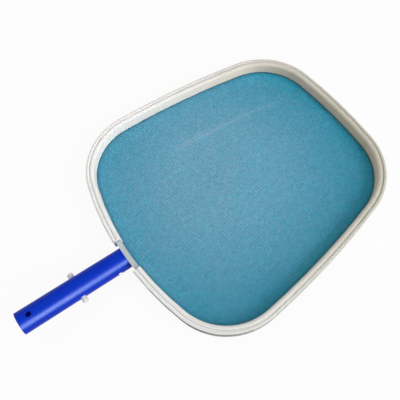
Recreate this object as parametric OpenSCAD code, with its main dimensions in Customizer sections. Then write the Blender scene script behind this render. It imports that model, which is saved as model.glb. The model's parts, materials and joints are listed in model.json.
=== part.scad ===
// Leaf skimmer net for a pool or spa: a shallow scoop of net in a hoop with a
// plastic edge moulding, on a short tubular handle that a pole slides over.

/* [Head outline] */
// Radius of the bowed edge beside the handle, at the net opening
near_bow_r = 395; // [330:5:600]
// Radius of each bowed side
side_bow_r = 1130; // [600:10:2000]
// Radius of the bowed far edge
far_bow_r = 690; // [400:10:1500]
// Radius of the two corners beside the handle
near_corner_r = 79; // [60:1:95]
// Radius of the two far corners
far_corner_r = 80; // [60:1:95]
// Distance across between the centres of the corners beside the handle
near_corner_spread = 172; // [140:1:200]
// Distance across between the centres of the far corners
far_corner_spread = 117; // [90:1:150]
// Distance along between the near and the far corner centres
corner_run = 177; // [150:1:220]

/* [Frame hoop] */
// Width of the extruded hoop
hoop_w = 6.5; // [5.5:0.1:7]
// Height of the hoop's top above the net
hoop_top = 15.6; // [14:0.1:20]
// Thickness of the hoop's walls
hoop_wall = 1.2; // [1:0.1:1.4]
// Depth of the open channel along the hoop's top
top_channel = 3.4; // [2:0.1:4]
// How far the hoop's outer wall reaches below the net
hoop_drop = 2.2; // [1:0.1:3]

/* [Edge moulding] */
// Thickness of the moulding's inner skirt and of its top
skin = 1.3; // [1:0.1:2]
// Width of the rounded bead along the top
bead_w = 6.2; // [5.5:0.1:7]
// Corner radius of the bead
bead_r = 2.7; // [2:0.1:2.7]
// Width of the groove outside the bead
groove_w = 1.2; // [0.8:0.1:1.6]
// Depth of that groove below the bead's crown
groove_depth = 1.3; // [0.8:0.1:1.5]
// Width of the outer lip, from the groove to the outside
lip_w = 3.8; // [3.4:0.1:5]
// How far the lip's crown lies below the bead's
lip_step = 0.5; // [0.3:0.1:0.7]
// Thickness of the wall between the hoop and the hollow lip
mid_wall = 0.8; // [0.6:0.1:1]
// Thickness of the outer skirt
skirt_wall = 1.4; // [1:0.1:1.8]
// How far the outer skirt reaches below the net
skirt_drop = 3; // [2.4:0.1:5]
// Length of the gap in the moulding at the handle
gap_len = 47; // [40:1:60]
// How far the gap's middle lies off the handle's axis, towards the right
gap_shift = 2.5; // [0:0.5:5]

/* [Net] */
// Thickness of the net
net_thick = 0.8; // [0.5:0.1:1.2]
// Height of the net's turned-up rim
net_rim = 1.6; // [1.2:0.1:2.6]
// Distance from one gap in the net to the next
net_pitch = 19.4; // [19:0.1:30]
// Width of the net's strands
net_strand = 5; // [2:0.5:8]

/* [Handle] */
// Outer diameter of the handle tube
tube_d = 30; // [28:0.5:34]
// Wall thickness of the tube
tube_wall = 1.8; // [1.2:0.1:2.5]
// Length of the tube along its axis
tube_len = 150; // [140:1:200]
// Angle at which the tube rises from the head's plane
tube_pitch = 9; // [0:0.5:15]
// Height of the tube's axis above the net, where it meets the hoop
tube_rise = 1; // [-2:0.5:2]
// Radius of the cross hole for a bolt
bolt_hole_r = 3.5; // [2.5:0.1:4.5]
// Distance from the tube's open end to the bolt hole
bolt_hole_at = 15; // [10:1:40]
// Chamfer on the tube's open end
tube_chamfer = 0.5; // [0.2:0.1:0.8]

/* [Plug] */
// Length of the moulded plug in the tube's head end
plug_len = 28; // [24:1:32]
// Thickness of solid plug behind the hoop
plug_solid = 20; // [19:1:22]
// Wall thickness of the cored end of the plug
plug_wall = 3.5; // [2.5:0.5:5]
// Radius of the shank of each hoop screw
screw_r = 1.75; // [1.5:0.05:2]
// Radius of each hoop screw's countersunk head
screw_head_r = 3.3; // [2.6:0.1:3.6]
// Length of each hoop screw
screw_len = 16; // [12:1:18]
// Distance from each hoop screw's axis to the side of the plug
screw_inset = 6.1; // [5:0.1:7.5]
// Distance from the tube's head end to the tube rivets
rivet_at = 17; // [12:0.5:17.5]
// Radius of each tube rivet's shank
rivet_r = 1.6; // [1.2:0.1:2]
// Radius of each tube rivet's head
rivet_head_r = 2.6; // [2.3:0.1:3.2]
// Height of each tube rivet's head
rivet_head_h = 1; // [0.8:0.1:1.5]
// Length of each tube rivet's shank
rivet_len = 8; // [5:0.5:9]

/* [Spring clip] */
// Distance from the tube's open end to the buttons
button_at = 79; // [60:1:82]
// Radius of each button
button_r = 3.75; // [3:0.05:4.5]
// How far each button stands out of the tube
button_out = 6.8; // [4:0.1:8]
// Radius of the rounding on each button's tip
button_round = 1.6; // [0.5:0.1:2]
// Width of the clip's strip
clip_w = 9; // [8:0.5:10]
// Thickness of the clip's strip
clip_thick = 2; // [1.5:0.1:2.5]
// Length of the pad that each button stands on
pad_len = 11; // [10:0.5:12]
// Distance from the buttons to the bend of the clip
clip_len = 38; // [30:1:40]
// Outer radius of the clip's bend
bend_r = 4; // [3:0.5:5]

/* [Clearances] */
// Gap between the moulding and the hoop inside it
moulding_gap = 0.1; // [0.05:0.05:0.2]
// Gap between the tube's coped end and the hoop
cope_gap = 0.1; // [0.05:0.05:0.3]
// Gap round the plug in the tube
plug_gap = 0.1; // [0.05:0.05:0.2]
// Gap round the screws and rivets in their holes
fastener_gap = 0.05; // [0.02:0.01:0.1]
// Gap round each button in its hole
button_gap = 0.35; // [0.2:0.05:0.5]
// Gap between the clip's pads and the tube's bore
pad_gap = 0.2; // [0.1:0.05:0.4]
// Gap between the foot of the moulding's inner skirt and the net
skirt_gap = 0.4; // [0.3:0.1:1]
// Gap beside the net's rim and its cord in their channel
rim_gap = 0.05; // [0.03:0.01:0.1]
// Gap over the cord in its channel
cord_gap = 0.3; // [0.2:0.1:0.6]

/* [Hidden] */
$fn = 48;

MOULDING_WHITE = [0.93, 0.93, 0.91];
HOOP_GREY = [0.82, 0.82, 0.8];
NET_BLUE = [0.35, 0.62, 0.72];
TUBE_BLUE = [0.02, 0.22, 0.8];
STEEL = [0.75, 0.76, 0.78];
CLIP_WHITE = [0.85, 0.86, 0.86];
CORD_GREY = [0.55, 0.57, 0.58];

// Angular step of a swept corner, and the longest step on a bowed edge
CORNER_STEP = 6;
BOW_STEP = 36;
// Steps in the quarter turn of a rounded edge of a section, and in the half turn of the clip's bend
EDGE_STEPS = 3;
BEND_STEPS = 12;
EPS = 0.01;

// ---- head outline: the edge of the net opening, tangent arcs, near apex at x = 0 ----

near_y = near_corner_spread / 2;
far_y = far_corner_spread / 2;
near_bow_c = [near_bow_r, 0];
near_corner_c = [near_bow_r - sqrt(pow(near_bow_r - near_corner_r, 2) - pow(near_y, 2)), near_y];
far_corner_c = [near_corner_c.x + corner_run, far_y];
far_bow_c = [far_corner_c.x - sqrt(pow(far_bow_r - far_corner_r, 2) - pow(far_y, 2)), 0];
side_bow_c = arc_centre(near_corner_c, side_bow_r - near_corner_r, far_corner_c, side_bow_r - far_corner_r);
opening_len = far_bow_c.x + far_bow_r;

// Turning angles at which one arc hands over to the next, 180 at the handle, 0 at the far end
near_turn = heading(near_bow_c, near_corner_c);
side_turn_near = heading(side_bow_c, near_corner_c);
side_turn_far = heading(side_bow_c, far_corner_c);
far_turn = heading(far_bow_c, far_corner_c);

function heading(from, to) = atan2(to.y - from.y, to.x - from.x);

// The point at distance ra from a and rb from b that lies to the right of the line from a to b
function arc_centre(a, ra, b, rb) =
    let (d = norm(b - a), u = (b - a) / d, along = (ra * ra - rb * rb + d * d) / (2 * d))
    a + u * along + [u.y, -u.x] * sqrt(ra * ra - along * along);

// Stations [x, y, outward angle] on an arc, without its last point
function stations(c, r, from, to, count) =
    [for (i = [0:count - 1]) let (a = from + (to - from) * i / count) [c.x + r * cos(a), c.y + r * sin(a), a]];

function bow_count(r, from, to) = ceil(abs(to - from) * PI / 180 * r / BOW_STEP);
function corner_count(from, to) = ceil(abs(to - from) / CORNER_STEP);
function bow(c, r, from, to) = stations(c, r, from, to, bow_count(r, from, to));
function corner(c, r, from, to) = stations(c, r, from, to, corner_count(from, to));

// The left half of the outline, from an outward angle beside the handle to just before the far end
function left_half(start) = concat(
    bow(near_bow_c, near_bow_r, start, near_turn),
    corner(near_corner_c, near_corner_r, near_turn, side_turn_near),
    bow(side_bow_c, side_bow_r, side_turn_near, side_turn_far),
    corner(far_corner_c, far_corner_r, side_turn_far, far_turn),
    bow(far_bow_c, far_bow_r, far_turn, 0));

// Mirrored stations, in the opposite order
function mirrored(half) = [for (i = [len(half) - 1:-1:0]) [half[i].x, -half[i].y, -half[i][2]]];

// The moulding runs from the gap's left end round to its right end, and the hoop goes on across the gap
far_apex = [opening_len, 0, 0];
gap_left = 180 - asin((gap_len / 2 - gap_shift) / near_bow_r);
gap_right = 180 - asin((gap_len / 2 + gap_shift) / near_bow_r);
open_run = concat(left_half(gap_left), [far_apex], mirrored(left_half(gap_right)));
gap_run = bow(near_bow_c, near_bow_r, 360 - gap_right, gap_left);
loop = concat(open_run, [for (i = [1:len(gap_run) - 1]) gap_run[i]]);

function offset_points(run, s) = [for (p = run) [p.x + s * cos(p[2]), p.y + s * sin(p[2])]];

// ---- sections, as [distance outside the opening's edge, height above the net] ----

hoop_in = skin + moulding_gap;
hoop_out = hoop_in + hoop_w;
channel_in = hoop_in + hoop_wall;
channel_out = hoop_out - hoop_wall;
lip_in = bead_w + groove_w;
lip_out = lip_in + lip_w;
// Extra thickness of the moulding's top under the bead's crown
bead_crown = 0.5;
bead_top = hoop_top + moulding_gap + skin + bead_crown;
lip_top = bead_top - lip_step;
// Width of each of the two small slopes from the groove up to the lip's crown
lip_slope = 0.3;
// Radius of the lip's outer edge, bevel at the skirt's foot, height of the middle wall's foot
lip_round = 1.5;
skirt_bevel = 0.5;
mid_foot = 1.1;
mid_out = hoop_out + moulding_gap + mid_wall;

function rounded(c, r, from, to) =
    [for (i = [0:EDGE_STEPS]) let (a = from + (to - from) * i / EDGE_STEPS) c + r * [cos(a), sin(a)]];

// Angle at which the bead's rounding runs into the groove's floor
bead_end = asin((bead_r - groove_depth) / bead_r);

moulding_section = concat(
    [[0, skirt_gap]],
    rounded([bead_r, bead_top - bead_r], bead_r, 180, 90),
    rounded([bead_w - bead_r * cos(bead_end), bead_top - bead_r], bead_r, 90, bead_end),
    [[lip_in, bead_top - groove_depth], [lip_in + lip_slope, lip_top - lip_slope],
        [lip_in + 2 * lip_slope, lip_top]],
    rounded([lip_out - lip_round, lip_top - lip_round], lip_round, 90, 0),
    [[lip_out, skirt_bevel - skirt_drop], [lip_out - skirt_bevel, -skirt_drop],
        [lip_out - skirt_wall, -skirt_drop], [lip_out - skirt_wall, lip_top - lip_round - skin],
        [mid_out, lip_top - lip_round - skin], [mid_out, mid_foot],
        [mid_out - mid_wall, mid_foot], [mid_out - mid_wall, hoop_top + moulding_gap],
        [skin, hoop_top + moulding_gap], [skin, skirt_gap]]);

// Thickness of the net's rim, and how far the cord reaches below the net's top
rim_thick = 0.5;
cord_drop = 0.2;
rim_in = channel_in + rim_gap;
rim_out = rim_in + rim_thick;
cord_r = (channel_out - rim_out) / 2 - rim_gap;
cord_mid = [(rim_out + channel_out) / 2, cord_r - cord_drop];
cord_section = [for (i = [0:7]) cord_mid + cord_r * [cos(-45 * i), sin(-45 * i)]];

// Height of the channel underneath, and of the screws halfway up the web between the channels
net_channel = 2 * cord_r - cord_drop + cord_gap;
screw_height = (net_channel + hoop_top - top_channel) / 2;
// Bevel along the hoop's top edges
edge_break = 0.3;
hoop_section = [
    [hoop_in, 0], [hoop_in, hoop_top - edge_break], [hoop_in + edge_break, hoop_top],
    [channel_in, hoop_top], [channel_in, hoop_top - top_channel],
    [channel_out, hoop_top - top_channel], [channel_out, hoop_top],
    [hoop_out - edge_break, hoop_top], [hoop_out, hoop_top - edge_break], [hoop_out, -hoop_drop],
    [channel_out, -hoop_drop], [channel_out, net_channel], [channel_in, net_channel], [channel_in, 0]];

// A section swept along a run of stations; a closed run joins its end to its start
module sweep(section, run, closed) {
    n = len(section);
    m = len(run);
    points = [for (p = run) for (q = section) [p.x + q.x * cos(p[2]), p.y + q.x * sin(p[2]), q.y]];
    last = closed ? m - 1 : m - 2;
    walls = [for (j = [0:last]) for (i = [0:n - 1])
        let (k = (j + 1) % m, h = (i + 1) % n) [j * n + i, j * n + h, k * n + h, k * n + i]];
    caps = closed ? [] : [[for (i = [n - 1:-1:0]) i], [for (i = [0:n - 1]) (m - 1) * n + i]];
    polyhedron(points, concat(walls, caps), convexity = 10);
}

// ---- handle: tube axis along -x from its joint with the hoop, tilted up by tube_pitch ----

tube_r = tube_d / 2;
bore_r = tube_r - tube_wall;
joint_x = -hoop_out - cope_gap;
plug_r = bore_r - plug_gap;
bolt_x = bolt_hole_at - tube_len;
button_x = button_at - tube_len;
pad_out = sqrt(pow(bore_r, 2) - pow(clip_w / 2, 2)) - pad_gap;
pad_in = pad_out - clip_thick;
bend_x = button_x + clip_len;
// Straight edge of a screw head above its cone
head_land = 0.2;

// ---- how the skimmer stands: on the tube's lower edge at the hoop and on the far skirt ----

foot = [joint_x, tube_rise - tube_r / cos(tube_pitch)];
toe = [opening_len + lip_out - skirt_bevel, -skirt_drop];
stand_tilt = atan2(toe.y - foot.y, toe.x - foot.x);
stand_lift = foot.x * sin(stand_tilt) - foot.y * cos(stand_tilt);

// Ends of the whole skimmer along x once it stands
rise = tube_pitch + stand_tilt;
joint_stood = joint_x * cos(stand_tilt) + tube_rise * sin(stand_tilt);
tail_x = joint_stood - tube_len * cos(rise) - (tube_r - tube_chamfer) * sin(rise);
nose_x = (opening_len + lip_out) * cos(stand_tilt) + (lip_top - lip_round) * sin(stand_tilt);

module standing() {
    translate([-(tail_x + nose_x) / 2, 0, stand_lift]) rotate([0, stand_tilt, 0]) children();
}

module on_tube() {
    standing() translate([joint_x, 0, tube_rise]) rotate([0, tube_pitch, 0]) children();
}

// The space taken by the hoop and all that lies inside it, in the tube's own directions
module cope() {
    rotate([0, -tube_pitch, 0]) translate([near_bow_r - joint_x, 0, -2 * tube_d])
        cylinder(r = near_bow_r - joint_x, h = 4 * tube_d, $fn = 360);
}

// The two hoop screws' places on the hoop's inner face, with z along the screws
module at_screw(side) {
    y = plug_r - screw_inset;
    face_x = near_bow_r - sqrt(pow(near_bow_r + hoop_in, 2) - pow(y, 2));
    translate([face_x, side * y, screw_height]) rotate([0, -90, 0]) children();
}

module edge_moulding() {
    color(MOULDING_WHITE) standing() sweep(moulding_section, open_run, false);
}

module frame_hoop() {
    color(HOOP_GREY) standing() difference() {
        sweep(hoop_section, loop, true);
        for (side = [-1, 1]) at_screw(side) screw_shape(fastener_gap, 1);
    }
}

module net_gaps() {
    gap = net_pitch - net_strand;
    across = ceil((near_y + near_corner_r) / net_pitch);
    along = ceil(opening_len / net_pitch);
    intersection() {
        polygon(offset_points(loop, -net_strand / 2));
        for (i = [0:along]) for (j = [-across:across])
            translate([(i + 0.5) * net_pitch, j * net_pitch]) square(gap, center = true);
    }
}

module net() {
    color(NET_BLUE) standing() difference() {
        translate([0, 0, -net_thick]) linear_extrude(net_thick + net_rim) polygon(offset_points(loop, rim_out));
        linear_extrude(net_rim + 1) polygon(offset_points(loop, rim_in));
        translate([0, 0, -net_thick - 1]) linear_extrude(net_thick + 2) net_gaps();
    }
}

module net_spline() {
    color(CORD_GREY) standing() sweep(cord_section, loop, true);
}

module handle_tube() {
    color(TUBE_BLUE) on_tube() difference() {
        rotate([0, -90, 0]) translate([0, 0, -tube_r]) rotate_extrude()
            polygon([[bore_r, 0], [tube_r, 0], [tube_r, tube_len + tube_r - tube_chamfer],
                [tube_r - tube_chamfer, tube_len + tube_r], [bore_r, tube_len + tube_r]]);
        cope();
        translate([bolt_x, 0, -tube_d]) cylinder(r = bolt_hole_r, h = 2 * tube_d);
        translate([button_x, tube_d, 0]) rotate([90, 0, 0]) cylinder(r = button_r + button_gap, h = 2 * tube_d);
        translate([-rivet_at, tube_d, 0]) rotate([90, 0, 0]) cylinder(r = rivet_r + fastener_gap, h = 2 * tube_d);
    }
}

module handle_plug() {
    color(CLIP_WHITE) difference() {
        on_tube() difference() {
            translate([-plug_len, 0, 0]) rotate([0, 90, 0]) cylinder(r = plug_r, h = plug_len + tube_r);
            translate([-plug_len - 1, 0, 0]) rotate([0, 90, 0])
                cylinder(r = plug_r - plug_wall, h = plug_len - plug_solid + 1);
            cope();
            for (side = [-1, 1]) on_side(side) rivet_shape(fastener_gap);
        }
        standing() for (side = [-1, 1]) at_screw(side) screw_shape(fastener_gap);
    }
}

// A countersunk screw along +z with the top of its head at z = 0, grown by a gap, and by more above its head
module screw_shape(gap, above = 0) {
    head_h = screw_head_r - screw_r;
    rotate_extrude() polygon([[0, -above], [screw_head_r + gap, -above], [screw_head_r + gap, head_land],
        [screw_r + gap, head_h + head_land], [screw_r + gap, screw_len + gap], [0, screw_len + gap]]);
}

module hoop_screw(side) {
    color(STEEL) standing() at_screw(side) screw_shape(0);
}

// The rivets' places, with z pointing into the tube from its outside
module on_side(side) {
    translate([-rivet_at, side * tube_r, 0]) rotate([side * 90, 0, 0]) children();
}

module rivet_shape(gap) {
    cylinder(r = rivet_r + gap, h = rivet_len + gap);
}

module tube_rivet(side) {
    color(STEEL) on_tube() on_side(side) {
        translate([0, 0, -EPS]) rivet_shape(0);
        intersection() {
            translate([0, 0, -rivet_head_h]) cylinder(r = rivet_head_r, h = rivet_head_h);
            dome_r = (pow(rivet_head_r, 2) + pow(rivet_head_h, 2)) / (2 * rivet_head_h);
            translate([0, 0, dome_r - rivet_head_h]) sphere(r = dome_r);
        }
    }
}

// Points round the clip's bend, from one leg to the other
function bend_points(r, from) =
    [for (i = [0:BEND_STEPS]) let (a = from - 2 * from * i / BEND_STEPS) [bend_x + r * cos(a), r * sin(a)]];

// A strip bent to a V, whose legs widen from the bend to the pads
module spring_clip() {
    leg_end = button_x + pad_len / 2;
    outside = concat([[leg_end, pad_out]], bend_points(bend_r, 90), [[leg_end, -pad_out]]);
    inside = concat([[leg_end, -pad_in]], bend_points(bend_r - clip_thick, -90), [[leg_end, pad_in]]);
    color(CLIP_WHITE) on_tube() translate([0, 0, -clip_w / 2]) linear_extrude(clip_w)
        polygon(concat(outside, inside));
}

module button(side) {
    tip = tube_r + button_out;
    color(CLIP_WHITE) on_tube() {
        translate([button_x - pad_len / 2, side > 0 ? pad_in : -pad_out, -clip_w / 2])
            cube([pad_len, clip_thick, clip_w]);
        translate([button_x, 0, 0]) rotate([-side * 90, 0, 0]) rotate_extrude()
            difference() {
                union() {
                    translate([0, pad_out - EPS]) square([button_r, tip - button_round - pad_out + EPS]);
                    translate([0, tip - button_round - EPS]) square([button_r - button_round, button_round + EPS]);
                    translate([button_r - button_round, tip - button_round]) circle(r = button_round);
                }
                translate([-2 * button_r, 0]) square([2 * button_r, 2 * tip]);
            }
    }
}

edge_moulding();
frame_hoop();
net();
net_spline();
handle_tube();
handle_plug();
hoop_screw(1);  // hoop_screw_left
hoop_screw(-1);  // hoop_screw_right
tube_rivet(1);  // tube_rivet_left
tube_rivet(-1);  // tube_rivet_right
spring_clip();
button(1);  // button_left
button(-1);  // button_right
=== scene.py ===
"""The look of the leaf skimmer: its materials, woven net and spring clip, floor, light and camera."""

import json
import math
from collections import namedtuple

import bmesh
import bpy
from mathutils import Matrix, Vector, noise

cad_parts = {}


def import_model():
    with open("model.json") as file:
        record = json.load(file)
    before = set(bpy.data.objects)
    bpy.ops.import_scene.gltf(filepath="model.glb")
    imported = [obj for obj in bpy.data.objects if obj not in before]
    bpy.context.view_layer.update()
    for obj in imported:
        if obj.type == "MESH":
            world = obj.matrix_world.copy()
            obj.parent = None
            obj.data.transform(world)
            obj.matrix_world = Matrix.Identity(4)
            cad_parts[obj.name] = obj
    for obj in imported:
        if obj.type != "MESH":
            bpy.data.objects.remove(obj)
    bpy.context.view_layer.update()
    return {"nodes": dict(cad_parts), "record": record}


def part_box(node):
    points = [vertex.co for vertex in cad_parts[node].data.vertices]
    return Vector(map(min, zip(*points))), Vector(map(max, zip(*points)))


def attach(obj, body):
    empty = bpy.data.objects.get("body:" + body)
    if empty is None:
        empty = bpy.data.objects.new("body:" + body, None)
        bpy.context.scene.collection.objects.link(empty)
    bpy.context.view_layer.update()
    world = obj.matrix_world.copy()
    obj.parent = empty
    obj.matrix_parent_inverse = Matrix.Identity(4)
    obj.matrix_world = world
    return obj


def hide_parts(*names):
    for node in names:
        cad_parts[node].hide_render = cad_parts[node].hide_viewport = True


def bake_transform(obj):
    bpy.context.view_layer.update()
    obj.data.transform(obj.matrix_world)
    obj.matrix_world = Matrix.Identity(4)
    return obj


MM = 0.001

# The sign of Y on each side
LEFT, RIGHT = 1, -1

# Camera: the point it looks at, its place seen from there (azimuth and elevation in degrees, and
# metres), and how far it is rolled
LOOK_AT = Vector((0.0152, 0.0051, 0.015))
CAMERA_PLACE = (-113.98, 68.09, 0.6261)
CAMERA_ROLL = math.radians(13.18)
LENS_MM = 41.36
SENSOR_MM = 36

# Lamps: discs that face the point that the camera looks at, with places given as the camera's is.
# The key light's gloss comes from a lamp of its own, a little round to the side.
Lamp = namedtuple("Lamp", "name place size watts diffuse gloss")
LAMPS = (
    Lamp("key_light", (-62, 33, 5.0), size=4.6, watts=222, diffuse=True, gloss=False),
    Lamp("glint_light", (-90, 32, 5.0), size=3.5, watts=1230, diffuse=False, gloss=True),
    Lamp("fill_light", (110, 62, 1.1), size=0.7, watts=2.8, diffuse=True, gloss=False),
)

# The room's dim warm light, how much of the floor's look is plain white, and the floor's half width
ROOM_LIGHT = 0.30
ROOM_COLOUR = (0.98, 0.97, 0.95, 1)
FLOOR_WHITE = 0.92
FLOOR_REACH = 6.0

# The head's middle, and the directions from it towards which painted shade deepens: on the moulding,
# on the moulding's outer faces (the handle's side) and on the net
HEAD_MIDDLE = (0.07, 0.0, 0.017)
MOULDING_SHADE_SIDE = (0.92, -0.38, 0.0)
HANDLE_SIDE = (-0.97, -0.23, 0.0)
NET_SHADE_SIDE = (0.75, -0.66, 0.0)

# Net: thickness of its CAD sheet and its depth with the turned-up rim, then the weave
NET_SHEET = 0.8 * MM
NET_DEPTH = 2.4 * MM
WEAVE_PITCH = 2.0 * MM
STRAND_WIDTH = 1.75 * MM
WEAVE_HEIGHT = 0.12 * MM

# The net's rim: how far inside the outline it stands and the strip of cloth at its foot begins, and
# its height
RIM_INSET = 0.2 * MM
RIM_FOOT_INSET = 2.2 * MM
RIM_HEIGHT = 1.2 * MM

# The net's slack: its height, its size across, and the distance from the edge at which it is full
SLACK_HEIGHT = 0.5 * MM
SLACK_SIZE = 90 * MM
SLACK_FULL = 25 * MM

# The middle of the net's lighter, greyer patch of painted sheen, and the distances from it at which
# the sheen begins and is full
NET_SHEEN_MIDDLE = (0.06, 0.02, 0.009)
SHEEN_START, SHEEN_FULL = 0.23, 0.10

# Streaks in the yarn: how far apart neighbouring strands lie in their noise, and how many streaks
# there are along a metre of strand
STREAK_SHIFT = 7.31
STREAKS = 160

# The yarn's own tone, and what every other strand, the flecks and the streaks add to it
YARN_TONE, RIB_TONE, FLECK_TONE, STREAK_TONE = 0.595, 0.115, 0.26, 0.165

# Creases in the net: each is a parabola with a turning point and a bow, drawn over its reach on both
# sides of its middle's x. Its ridge and the pale line of painted highlight on it have a width, the
# fainter band of painted highlight round them fades out further off, and the line and the band are
# each as pale as the last value says.
Crease = namedtuple("Crease", "turn_x turn_y bow middle reach")
CREASES = (
    Crease(turn_x=0.015, turn_y=0.0885, bow=-0.70, middle=0.115, reach=0.105),
    Crease(turn_x=0.066, turn_y=0.0918, bow=0.0, middle=0.064, reach=0.032),
)
CREASE_HEIGHT = 0.6 * MM
CREASE_WIDTH = 2.4 * MM
CREASE_FADE = 7 * MM
CREASE_HIGHLIGHT = 0.14

# Spring clip: the strip's section and bend, and the steps round half its bend, along a leg and round
# each edge of its section
CLIP_THICKNESS = 2.0 * MM
CLIP_WIDTH = 9.0 * MM
CLIP_BEND_RADIUS = 3.0 * MM
CLIP_EDGE = 0.4 * MM
BEND_STEPS = 9
LEG_STEPS = 12
EDGE_STEPS = 3

# Smooth shading: corners nearer than the gap are joined, and edges that turn by less are soft
WELD_GAP = 0.002 * MM
SOFT_ANGLE = math.radians(38)
CLIP_SOFT_ANGLE = math.radians(50)


# ---- small tools ----------------------------------------------------------------------------------

def new_object(name, data):
    thing = bpy.data.objects.new(name, data)
    bpy.context.scene.collection.objects.link(thing)
    return thing


def mesh_piece(name, points, faces, material):
    mesh = bpy.data.meshes.new(name)
    mesh.from_pydata([tuple(p) for p in points], [], faces)
    mesh.validate()
    mesh.update()
    mesh.materials.append(material)
    return new_object(name, mesh)


class Shader:
    """The node tree of a material or the world, built one node at a time."""

    # The Mix node's sockets for colours: its factor, both colours and its result
    MIX_FACTOR, MIX_FIRST, MIX_SECOND, MIX_RESULT = 0, 6, 7, 2

    def __init__(self, owner, kind="Material"):
        owner.use_nodes = True
        self.owner = owner
        self.tree = owner.node_tree
        self.tree.nodes.clear()
        self.out = self.tree.nodes.new("ShaderNodeOutput" + kind)

    def add(self, kind, inputs, output=0, **settings):
        """Adds a node and gives one of its outputs; an input is a value or another node's output."""
        node = self.tree.nodes.new("ShaderNode" + kind)
        for key, value in settings.items():
            setattr(node, key, value)
        for key, value in inputs.items():
            if isinstance(value, bpy.types.NodeSocket):
                self.tree.links.new(value, node.inputs[key])
            else:
                node.inputs[key].default_value = value
        return node.outputs[output]

    def maths(self, operation, *values):
        return self.add("Math", dict(enumerate(values)), operation=operation)

    def vector(self, operation, *values, output="Vector"):
        return self.add("VectorMath", dict(enumerate(values)), output, operation=operation)

    def dot(self, first, second):
        return self.vector("DOT_PRODUCT", first, second, output="Value")

    def blend(self, amount, first, second, how="MIX"):
        """A colour that goes from first to second, or to their product where how is MULTIPLY."""
        inputs = {self.MIX_FACTOR: amount, self.MIX_FIRST: first, self.MIX_SECOND: second}
        return self.add("Mix", inputs, self.MIX_RESULT, data_type="RGBA", blend_type=how)

    def spread(self, value, low, high, least, most):
        """Goes from least, where value is at low, to most, where it is at high, and never past them."""
        return self.add("MapRange", {
            "Value": value, "From Min": low, "From Max": high, "To Min": least, "To Max": most})

    def ramp(self, value, low, high):
        """0 where value is at low or short of it, 1 at high or past it."""
        return self.spread(value, low, high, 0.0, 1.0)

    def place(self):
        """The point's place in the part's own frame."""
        return self.add("TexCoord", {}, "Object")

    def away(self):
        """The direction of the point from the head's middle."""
        return self.vector("NORMALIZE", self.vector("SUBTRACT", self.place(), HEAD_MIDDLE))

    def noise(self, scale, detail, place=None):
        place = self.place() if place is None else place
        return self.add("TexNoise", {"Vector": place, "Scale": scale, "Detail": detail})

    def open_air(self, distance, samples=8):
        """1 on an open face, and less in a groove or corner that closes in within the distance."""
        return self.add("AmbientOcclusion", {"Distance": distance}, "AO", samples=samples)

    def bump(self, height, distance, strength):
        return self.add("Bump", {"Height": height, "Distance": distance, "Strength": strength})

    def seen(self):
        """1 for what the camera, gloss and glass see, 0 for what lights other things."""
        camera, gloss, glass = (self.add("LightPath", {}, f"Is {ray} Ray")
                                for ray in ("Camera", "Glossy", "Transmission"))
        return self.maths("MAXIMUM", self.maths("MAXIMUM", camera, gloss), glass)

    def finish(self, shader):
        self.tree.links.new(shader, self.out.inputs["Surface"])
        return self.owner

    def principled(self, colour, roughness, normal, **more):
        """Finishes the material with a Principled shader; more are its other inputs, _ for a space."""
        inputs = {"Base Color": colour, "Roughness": roughness, "Normal": normal}
        inputs.update({key.replace("_", " "): value for key, value in more.items()})
        return self.finish(self.add("BsdfPrincipled", inputs))


def new_material(name):
    return Shader(bpy.data.materials.new(name))


# ---- materials ------------------------------------------------------------------------------------

def moulded_white():
    """White vinyl with painted light and shade: lighter, warmer inward faces, darker and creamier
    towards one side, darkened in its groove, and grey outer faces, darkest towards the handle.
    """
    s = new_material("moulded_white")
    mottle = s.noise(60.0, 4.0)
    grain = s.noise(900.0, 2.0)
    away = s.away()
    facing = s.dot(s.add("NewGeometry", {}, "Normal"), away)
    inward = s.ramp(facing, -0.3, -0.9)

    white = s.blend(s.ramp(mottle, 0.35, 0.7), (0.86, 0.86, 0.845, 1), (0.90, 0.90, 0.885, 1))
    # Painted light: inward faces lighter and warmer, to outweigh the teal light that the net throws on
    # them
    white = s.blend(inward, white, (0.94, 0.90, 0.86, 1))
    # Painted shade: darker and creamier towards the moulding's shade side; its inward faces there take a
    # warm shaded tone
    cream = s.blend(inward, (0.60, 0.59, 0.50, 1), (0.88, 0.68, 0.50, 1))
    toward_shade_side = s.ramp(s.dot(away, MOULDING_SHADE_SIDE), -0.6, 1.0)
    side_shaded = s.blend(toward_shade_side, white, cream)

    # Painted shade: the outer faces grey in patches, darkest towards the handle
    toward_handle = s.ramp(s.dot(away, HANDLE_SIDE), 0.6, 0.97)
    outer_shade = s.blend(toward_handle, (0.47, 0.47, 0.45, 1), (0.33, 0.33, 0.32, 1))
    outer_shade_amount = s.maths("MULTIPLY", s.ramp(facing, 0.45, 0.9), s.ramp(mottle, -0.6, 0.6))
    painted_light = s.blend(outer_shade_amount, side_shaded, outer_shade)

    # Painted shade: darker in the groove, most of all on the moulding's shade side
    groove_shade = s.ramp(s.open_air(2.5 * MM), 0.94, 0.42)
    recess_shade = s.maths("MULTIPLY", groove_shade, s.maths("POWER", toward_shade_side, 3.0))
    colour = s.blend(recess_shade, painted_light, (0.11, 0.105, 0.09, 1))
    rough = s.spread(mottle, 0.3, 0.7, 0.42, 0.54)
    return s.principled(colour, rough, s.bump(grain, 0.03 * MM, 0.4), Specular_IOR_Level=0.06)


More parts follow.
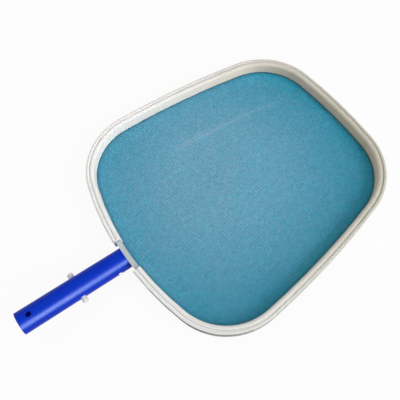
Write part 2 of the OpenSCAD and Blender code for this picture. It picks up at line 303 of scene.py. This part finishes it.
def hoop_metal():
    """Mill-finish extruded aluminium, dulled by pool water, with shade painted down in its channel."""
    s = new_material("hoop_metal")
    cloud = s.noise(45.0, 5.0)
    grain = s.noise(1400.0, 2.0)
    metal = s.blend(cloud, (0.40, 0.435, 0.45, 1), (0.51, 0.55, 0.565, 1))
    # Painted shade: darker down in the channel
    channel = s.maths("MULTIPLY", s.ramp(s.open_air(3 * MM), 0.8, 0.2), 0.7)
    colour = s.blend(channel, metal, (0.20, 0.19, 0.19, 1))
    rough = s.spread(cloud, 0.0, 1.0, 0.42, 0.6)
    return s.principled(colour, rough, s.bump(grain, 0.02 * MM, 0.5), Metallic=0.9)


def blue_tube():
    """Royal blue anodised aluminium."""
    s = new_material("blue_tube")
    cloud = s.noise(70.0, 4.0)
    fleck = s.noise(1500.0, 2.0)
    colour = s.blend(cloud, (0.0006, 0.026, 0.48, 1), (0.0010, 0.036, 0.56, 1))
    rough = s.spread(cloud, 0.3, 0.7, 0.31, 0.37)
    return s.principled(colour, rough, s.bump(fleck, 0.02 * MM, 0.35),
                        Specular_IOR_Level=0.15, Specular_Tint=(0.50, 0.68, 1, 1))


def clouded(name, scale, detail, tones, roughness, relief, strength, **more):
    """A plain material in clouds of two close tones, which make its fine relief as well."""
    s = new_material(name)
    cloud = s.noise(scale, detail)
    return s.principled(s.blend(cloud, *tones), roughness, s.bump(cloud, relief, strength), **more)


def clip_white():
    """The buttons' and the clip's moulded acetal: milky and smooth."""
    tones = (0.70, 0.71, 0.72, 1), (0.78, 0.79, 0.80, 1)
    return clouded("clip_white", 220.0, 3.0, tones, roughness=0.32, relief=0.02 * MM, strength=0.3)


def plug_grey():
    tones = (0.52, 0.53, 0.54, 1), (0.60, 0.61, 0.62, 1)
    return clouded("plug_grey", 300.0, 4.0, tones, roughness=0.55, relief=0.04 * MM, strength=0.5)


def cord_vinyl():
    tones = (0.30, 0.32, 0.34, 1), (0.38, 0.40, 0.42, 1)
    return clouded("cord_vinyl", 150.0, 3.0, tones, roughness=0.5, relief=0.05 * MM, strength=0.4)


def stainless():
    """The screws' and rivets' steel."""
    tones = (0.62, 0.62, 0.63, 1), (0.78, 0.78, 0.79, 1)
    return clouded("stainless", 1800.0, 2.0, tones, roughness=0.28, relief=0.01 * MM, strength=0.4,
                   Metallic=1.0)


def net_yarn(near_edge):
    """Teal yarn, lighter and greyer towards its middle as painted sheen, with uneven strands, painted
    shade along its edges and painted highlights along its creases.

    near_edge is the x of the weave's first strand.
    """
    s = new_material("net_yarn")
    place = s.place()
    patch = s.noise(14.0, 4.0)
    # Painted sheen: lighter and greyer towards the net's middle
    from_middle = s.vector("LENGTH", s.vector("SUBTRACT", place, NET_SHEEN_MIDDLE), output="Value")
    middle_sheen = s.ramp(s.maths("MULTIPLY_ADD", patch, 0.06, from_middle), SHEEN_START, SHEEN_FULL)
    teal = s.blend(middle_sheen, (0.036, 0.295, 0.44, 1), (0.152, 0.407, 0.562, 1))
    cloud = s.ramp(s.noise(200.0, 2.0), 0.3, 0.7)
    tinge = s.blend(cloud, (0.76, 1.02, 0.96, 1), (1.26, 0.95, 1.02, 1))
    teal = s.blend(1.0, teal, tinge, how="MULTIPLY")
    colour = s.add("HueSaturation", {"Color": teal, "Value": strand_tone(s, place, patch, near_edge)})
    colour = shaded_edges(s, colour)
    for crease in CREASES:
        colour = crease_highlight(s, place, crease, colour)
    fibre = s.noise(2500.0, 2.0)
    return s.principled(colour, 0.6, s.bump(fibre, 0.02 * MM, 0.4), Specular_IOR_Level=0.03)


def strand_tone(s, place, patch, near_edge):
    """How light the yarn is: every other strand is lighter, and each has its own streaks and flecks."""
    half = WEAVE_PITCH / 2
    on_weave = s.vector("SUBTRACT", place, (near_edge - half, -half, 0))
    strand = s.vector("FLOOR", s.vector("DIVIDE", on_weave, (WEAVE_PITCH,) * 3))
    every_other = s.vector("ABSOLUTE", s.vector("MODULO", strand, (2, 2, 2)))
    rib = s.maths("MULTIPLY", s.dot(every_other, (1, 1, 0)), s.ramp(patch, -0.2, 0.6))
    streaks = []
    for shift, run in (((STREAK_SHIFT, 0, 0), (0, STREAKS, 0)), ((0, STREAK_SHIFT, 0), (STREAKS, 0, 0))):
        own = s.vector("MULTIPLY", strand, shift)
        along = s.vector("MULTIPLY", place, run)
        streaks.append(s.ramp(s.noise(1.0, 1.0, s.vector("ADD", own, along)), 0.3, 0.7))
    fleck = s.ramp(s.noise(800.0, 2.0), 0.3, 0.7)
    tone = s.maths("MULTIPLY_ADD", fleck, FLECK_TONE, YARN_TONE)
    tone = s.maths("MULTIPLY_ADD", rib, RIB_TONE, tone)
    return s.maths("MULTIPLY_ADD", s.maths("ADD", *streaks), STREAK_TONE, tone)


def shaded_edges(s, colour):
    """Painted shade: deeper teal where the moulding shelters the net, more on the net's shade side, and
    darker in the corner at the moulding's foot.
    """
    # Painted shade along the edges, deeper teal and less red, mostly on the side where the moulding's
    # shadow falls
    on_shade_side = s.ramp(s.dot(s.away(), NET_SHADE_SIDE), -0.2, 0.4)
    sheltered = s.ramp(s.open_air(30 * MM, samples=16), 0.97, 0.62)
    edge_shade = s.maths("MULTIPLY", sheltered, on_shade_side)
    colour = s.blend(edge_shade, colour, (0.48, 1.19, 1.20, 1), how="MULTIPLY")
    # Painted shade in the corner at the moulding's foot
    corner = s.ramp(s.open_air(8 * MM), 0.9, 0.45)
    recess_shade = s.maths("MULTIPLY", corner, s.maths("MULTIPLY_ADD", on_shade_side, 0.4, 0.5))
    return s.blend(recess_shade, colour, (0.01, 0.10, 0.14, 1))


def crease_highlight(s, place, crease, colour):
    """A painted highlight along a crease: a pale line in the middle of a fainter band."""
    x, y = (s.add("SeparateXYZ", {"Vector": place}, axis) for axis in "XY")
    from_turn = s.maths("SUBTRACT", x, crease.turn_x)
    squared = s.maths("MULTIPLY", from_turn, from_turn)
    crease_y = s.maths("MULTIPLY_ADD", squared, crease.bow, crease.turn_y)
    off = s.maths("ABSOLUTE", s.maths("SUBTRACT", y, crease_y))
    along = s.maths("ABSOLUTE", s.maths("SUBTRACT", x, crease.middle))
    # Painted highlight along the crease
    line = s.maths("MULTIPLY", s.ramp(off, CREASE_WIDTH, 0), CREASE_HIGHLIGHT)
    band = s.maths("MULTIPLY_ADD", s.ramp(off, CREASE_FADE, 0), CREASE_HIGHLIGHT, line)
    painted_light = s.maths("MULTIPLY", band, s.ramp(along, crease.reach, crease.reach / 4))
    return s.blend(painted_light, colour, (0.38, 0.58, 0.68, 1))


def floor_white():
    """A floor that looks nearly white and keeps its shadows, and throws little light back up."""
    s = new_material("floor_white")
    pale = s.blend(s.noise(3.0, 3.0), (0.88, 0.88, 0.87, 1), (0.92, 0.92, 0.91, 1))
    to_camera = s.add("LightPath", {}, "Is Camera Ray")
    shaded = s.add("BsdfDiffuse", {"Color": s.blend(to_camera, (0.3, 0.3, 0.3, 1), pale)})
    white = s.add("Emission", {"Color": (1, 1, 1, 1), "Strength": 1.0})
    share = s.maths("MULTIPLY", s.seen(), FLOOR_WHITE)
    return s.finish(s.add("MixShader", {0: share, 1: shaded, 2: white}))


# ---- CAD nodes ------------------------------------------------------------------------------------

def soft_shading():
    """A node group that joins a mesh's corners and shades it smooth up to an angle."""
    group = bpy.data.node_groups.new("soft_shading", "GeometryNodeTree")
    for in_out in ("INPUT", "OUTPUT"):
        group.interface.new_socket("Mesh", in_out=in_out, socket_type="NodeSocketGeometry")
    nodes, link = group.nodes, group.links.new
    start, end = nodes.new("NodeGroupInput"), nodes.new("NodeGroupOutput")
    weld = nodes.new("GeometryNodeMergeByDistance")
    weld.inputs["Distance"].default_value = WELD_GAP
    faces = nodes.new("GeometryNodeSetShadeSmooth")
    edges = nodes.new("GeometryNodeSetShadeSmooth")
    edges.domain = "EDGE"
    angle = nodes.new("GeometryNodeInputMeshEdgeAngle")
    soft = nodes.new("FunctionNodeCompare")
    soft.operation = "LESS_THAN"
    soft.inputs["B"].default_value = SOFT_ANGLE
    link(start.outputs[0], weld.inputs["Geometry"])
    link(weld.outputs["Geometry"], faces.inputs["Geometry"])
    link(faces.outputs["Geometry"], edges.inputs["Geometry"])
    link(angle.outputs["Unsigned Angle"], soft.inputs["A"])
    link(soft.outputs["Result"], edges.inputs["Shade Smooth"])
    link(edges.outputs["Geometry"], end.inputs[0])
    return group


def finish_node(node, material, shading=None):
    """Gives a CAD node its material, and smooth shading where its mesh is faceted."""
    node.data.materials.clear()
    node.data.materials.append(material)
    if shading:
        if "custom_normal" in node.data.attributes:
            node.data.attributes.remove(node.data.attributes["custom_normal"])
        modifier = node.modifiers.new("soft_shading", "NODES")
        modifier.node_group = shading


def finish_cad_nodes(nodes, grip):
    """Materials for the CAD nodes; grip is the one that the buttons share with the clip."""
    metal, shading = stainless(), soft_shading()
    finish_node(nodes["edge_moulding"], moulded_white(), shading)
    finish_node(nodes["frame_hoop"], hoop_metal(), shading)
    finish_node(nodes["net_spline"], cord_vinyl(), shading)
    finish_node(nodes["handle_tube"], blue_tube())
    finish_node(nodes["handle_plug"], plug_grey())
    for side in ("left", "right"):
        finish_node(nodes["hoop_screw_" + side], metal)
        finish_node(nodes["tube_rivet_" + side], metal)
        finish_node(nodes["button_" + side], grip)


# ---- net ------------------------------------------------------------------------------------------

def convex_outline(points):
    """The corners of the convex outline round points in the plane, anticlockwise."""
    points = sorted(set(points))

    def chain(some):
        kept = []
        for p in some:
            while len(kept) > 1 and (kept[-1][0] - kept[-2][0]) * (p[1] - kept[-2][1]) <= \
                    (kept[-1][1] - kept[-2][1]) * (p[0] - kept[-2][0]):
                kept.pop()
            kept.append(p)
        return kept[:-1]

    return chain(points) + chain(points[::-1])


class NetPlane:
    """The net's place: its outline, and its height above the floor at each point."""

    def __init__(self, node):
        self.low, self.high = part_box("net")
        corners = [(round(v.co.x, 6), round(v.co.y, 6)) for v in node.data.vertices]
        self.outline = [Vector(p) for p in convex_outline(corners)]
        self.sides = list(zip(self.outline, self.outline[1:] + self.outline[:1]))
        self.directions = [(start, (end - start).normalized()) for start, end in self.sides]
        self.drop = (self.high.z - NET_DEPTH - self.low.z) / (self.high.x - self.low.x)
        self.far_height = self.low.z + NET_SHEET / 2

    def size(self):
        return self.high.x - self.low.x, self.high.y - self.low.y

    def area(self):
        return sum(start.cross(end) for start, end in self.sides) / 2

    def depth_inside(self, p):
        """How far p lies inside the outline, below 0 outside it."""
        return min(direction.cross(p - start) for start, direction in self.directions)

    def drawn_in(self, p, distance):
        """A point of the outline, drawn in towards the net's middle."""
        middle_x = (self.low.x + self.high.x) / 2
        return p - Vector((p.x - middle_x, p.y)).normalized() * distance

    def height(self, p):
        """The height of the sheet, with the slack between its edges and the creases that cross it."""
        clear_of_edge = min(max(self.depth_inside(p), 0) / SLACK_FULL, 1)
        slack = SLACK_HEIGHT * noise.noise(Vector((p.x, p.y, 0)) / SLACK_SIZE)
        ridge = 0
        for crease in CREASES:
            off = (p.y - crease.turn_y - crease.bow * (p.x - crease.turn_x) ** 2) / CREASE_WIDTH
            along = 2 * (p.x - crease.middle) / crease.reach
            ridge = max(ridge, CREASE_HEIGHT * math.exp(-off * off - along * along))
        return self.far_height + (self.high.x - p.x) * self.drop + clear_of_edge * (slack + ridge)


def add_strands(mesh, plane):
    """A flat pad at each crossing of two strands, up and down in turn, and the links between pads."""
    half = STRAND_WIDTH / 2
    across = math.ceil(max(p.y for p in plane.outline) / WEAVE_PITCH)
    along = math.ceil((plane.high.x - plane.low.x) / WEAVE_PITCH)
    pads = {}
    for i in range(along + 1):
        for j in range(-across, across + 1):
            middle = Vector((plane.low.x + i * WEAVE_PITCH, j * WEAVE_PITCH))
            if plane.depth_inside(middle) > RIM_INSET + half:
                height = plane.height(middle) + WEAVE_HEIGHT * (-1) ** (i + j)
                pads[i, j] = [mesh.verts.new((middle.x + sx * half, middle.y + sy * half, height))
                              for sx, sy in ((-1, -1), (1, -1), (1, 1), (-1, 1))]
    for (i, j), pad in pads.items():
        mesh.faces.new(pad)
        if (i + 1, j) in pads:
            beyond = pads[i + 1, j]
            mesh.faces.new((pad[1], beyond[0], beyond[3], pad[2]))
        if (i, j + 1) in pads:
            beyond = pads[i, j + 1]
            mesh.faces.new((pad[3], pad[2], beyond[1], beyond[0]))


def add_rim(mesh, plane):
    """The strip of cloth along the net's edge, and its rim turned up into the hoop."""
    rings = []
    for inset, lift in ((RIM_FOOT_INSET, 0), (RIM_INSET, 0), (RIM_INSET, RIM_HEIGHT)):
        corners = [plane.drawn_in(p, inset) for p in plane.outline]
        rings.append([mesh.verts.new((p.x, p.y, plane.height(p) + lift)) for p in corners])
    for lower, upper in zip(rings, rings[1:]):
        for k in range(len(lower)):
            after = (k + 1) % len(lower)
            mesh.faces.new((lower[k], lower[after], upper[after], upper[k]))


def stretch_net(node):
    """The woven net in the place of its CAD sheet."""
    plane = NetPlane(node)
    mesh = bmesh.new()
    add_strands(mesh, plane)
    add_rim(mesh, plane)
    data = bpy.data.meshes.new("net_cloth")
    mesh.to_mesh(data)
    mesh.free()
    data.materials.append(net_yarn(plane.low.x))
    cloth = new_object("net_cloth", data)
    flat, area = plane.size(), plane.area()
    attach(cloth, "skimmer")
    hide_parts("net")


# ---- spring clip ----------------------------------------------------------------------------------

def clip_section():
    """The strip's section with rounded edges: each point's place through its thickness and its width."""
    half_t, half_w = CLIP_THICKNESS / 2 - CLIP_EDGE, CLIP_WIDTH / 2 - CLIP_EDGE
    section = []
    for quarter, (t, w) in enumerate(((1, 1), (-1, 1), (-1, -1), (1, -1))):
        for k in range(EDGE_STEPS + 1):
            turn = math.pi / 2 * (quarter + k / EDGE_STEPS)
            through, across = CLIP_EDGE * math.cos(turn), CLIP_EDGE * math.sin(turn)
            section.append((t * half_t + through, w * half_w + across))
    return section


def strip_along(name, line, across, material):
    """A strip of the clip's section along a line; across is the direction of its width."""
    section = clip_section()
    points = []
    for k, p in enumerate(line):
        ahead = (line[min(k + 1, len(line) - 1)] - line[max(k - 1, 0)]).normalized()
        out = ahead.cross(across).normalized()
        points += [p + out * t + across * w for t, w in section]
    n = len(section)
    faces = [(j * n + i, j * n + (i + 1) % n, (j + 1) * n + (i + 1) % n, (j + 1) * n + i)
             for j in range(len(line) - 1) for i in range(n)]
    faces += [tuple(range(n))[::-1], tuple((len(line) - 1) * n + i for i in range(n))]
    piece = mesh_piece(name, points, faces, material)
    piece.data.polygons.foreach_set("use_smooth", [True] * len(piece.data.polygons))
    piece.data.set_sharp_from_angle(angle=CLIP_SOFT_ANGLE)
    return piece


def fit_clip_half(name, side, tail, along, material):
    """Half the clip's bend and one leg, which lies between the skimmer and its button's body.

    Tail is the middle of the tube's open end, and along is the tube's direction from there.
    """

    def station(corner):
        """How far along the tube's axis a box's corner lies, with the corner's height left out."""
        return (corner.x - tail.x) / along.x

    def at(distance, aside):
        return tail + along * distance + Vector((0, side * aside, 0))

    _, pad_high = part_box("button_left")
    _, clip_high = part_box("spring_clip")
    bend_middle = station(clip_high) - CLIP_BEND_RADIUS - CLIP_THICKNESS / 2
    turns = [math.pi / 2 * k / BEND_STEPS for k in range(BEND_STEPS + 1)]
    line = [at(bend_middle + CLIP_BEND_RADIUS * math.cos(turn), CLIP_BEND_RADIUS * math.sin(turn))
            for turn in turns]
    start = line[-1]
    end = at(station(pad_high), clip_high.y - CLIP_THICKNESS / 2)
    line += [start.lerp(end, (k + 1) / LEG_STEPS) for k in range(LEG_STEPS)]
    leg = strip_along(name, line, along.cross(Vector((0, 1, 0))), material)
    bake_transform(leg)
    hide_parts("spring_clip")


def fit_clip(mounts, material):
    """The spring clip, on the tube's axis, which the pole_sleeve mount states."""
    pole_sleeve = next(mount for mount in mounts if mount["name"] == "pole_sleeve")
    tail, along = Vector(pole_sleeve["pos_m"]), -Vector(pole_sleeve["axis"])
    fit_clip_half("clip_left", LEFT, tail, along, material)
    fit_clip_half("clip_right", RIGHT, tail, along, material)


# ---- stage ----------------------------------------------------------------------------------------

def from_skimmer(azimuth, elevation, distance):
    """The vector from the point looked at to a place, given in degrees and metres."""
    azimuth, elevation = math.radians(azimuth), math.radians(elevation)
    return distance * Vector((math.cos(elevation) * math.cos(azimuth),
                              math.cos(elevation) * math.sin(azimuth), math.sin(elevation)))


def facing_skimmer(away, roll=0.0):
    """The matrix of a camera or lamp that lies away from the skimmer and faces it."""
    turn = away.to_track_quat("Z", "Y").to_matrix() @ Matrix.Rotation(roll, 3, "Z")
    return Matrix.Translation(LOOK_AT + away) @ turn.to_4x4()


def add_camera():
    data = bpy.data.cameras.new("camera")
    data.sensor_width = SENSOR_MM
    data.lens = LENS_MM
    camera = new_object("camera", data)
    camera.matrix_world = facing_skimmer(from_skimmer(*CAMERA_PLACE), -CAMERA_ROLL)
    bpy.context.scene.camera = camera


def add_lamp(lamp):
    data = bpy.data.lights.new(lamp.name, "AREA")
    data.shape = "DISK"
    data.size = lamp.size
    data.energy = lamp.watts
    light = new_object(lamp.name, data)
    light.matrix_world = facing_skimmer(from_skimmer(*lamp.place))
    light.visible_diffuse = lamp.diffuse
    light.visible_glossy = lamp.gloss


def add_world():
    """A dim warm room, that looks white to the camera and in gloss and glass."""
    world = Shader(bpy.data.worlds.new("world"), "World")
    room = world.add("Background", {"Color": ROOM_COLOUR, "Strength": ROOM_LIGHT})
    white = world.add("Background", {"Color": (1, 1, 1, 1), "Strength": 1.0})
    mixed = world.add("MixShader", {0: world.seen(), 1: room, 2: white})
    bpy.context.scene.world = world.finish(mixed)


def add_floor():
    size = FLOOR_REACH
    corners = [(-size, -size, 0), (size, -size, 0), (size, size, 0), (-size, size, 0)]
    floor = mesh_piece("floor", corners, [(0, 1, 2, 3)], floor_white())


# ---- the scene ------------------------------------------------------------------------------------

def main():
    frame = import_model()
    grip = clip_white()
    finish_cad_nodes(frame["nodes"], grip)
    stretch_net(frame["nodes"]["net"])
    fit_clip(frame["record"]["mounts"], grip)

    add_camera()
    for lamp in LAMPS:
        add_lamp(lamp)
    add_world()
    add_floor()
    bpy.context.scene.view_settings.view_transform = "Standard"


main()
